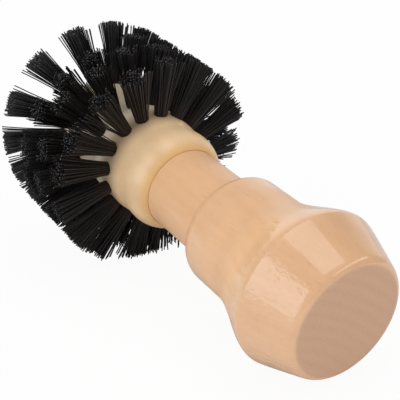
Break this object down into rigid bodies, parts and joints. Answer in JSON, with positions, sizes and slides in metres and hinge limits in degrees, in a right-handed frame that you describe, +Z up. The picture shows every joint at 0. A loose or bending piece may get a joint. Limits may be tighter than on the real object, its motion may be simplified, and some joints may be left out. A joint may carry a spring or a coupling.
{
  "type": "portafilter brush",
  "caption": "Round brush for cleaning coffee filter baskets: turned wooden handle, moulded head with tufts of stiff bristles all round it, and a crown of bristles on its nose.",
  "frame": {"origin": "on the table, under the middle of the box round the lying brush", "axes": "+X along the brush towards the butt of the handle, +Y across the brush, +Z up from the table"},
  "size_m": [0.12, 0.0602, 0.0634],
  "materials": {
    "beech": "turned beech under clear lacquer",
    "ivory_plastic": "smooth moulded, satin to glossy",
    "black_nylon": "fine stiff strands, ends cut square"
  },
  "bodies": {
    "root": {"handle": "beech", "brush_head": "ivory_plastic", "bristle_ring_1": "black_nylon", "bristle_ring_2": "black_nylon", "bristle_ring_3": "black_nylon", "nose_bristles": "black_nylon"}
  },
  "joints": []
}
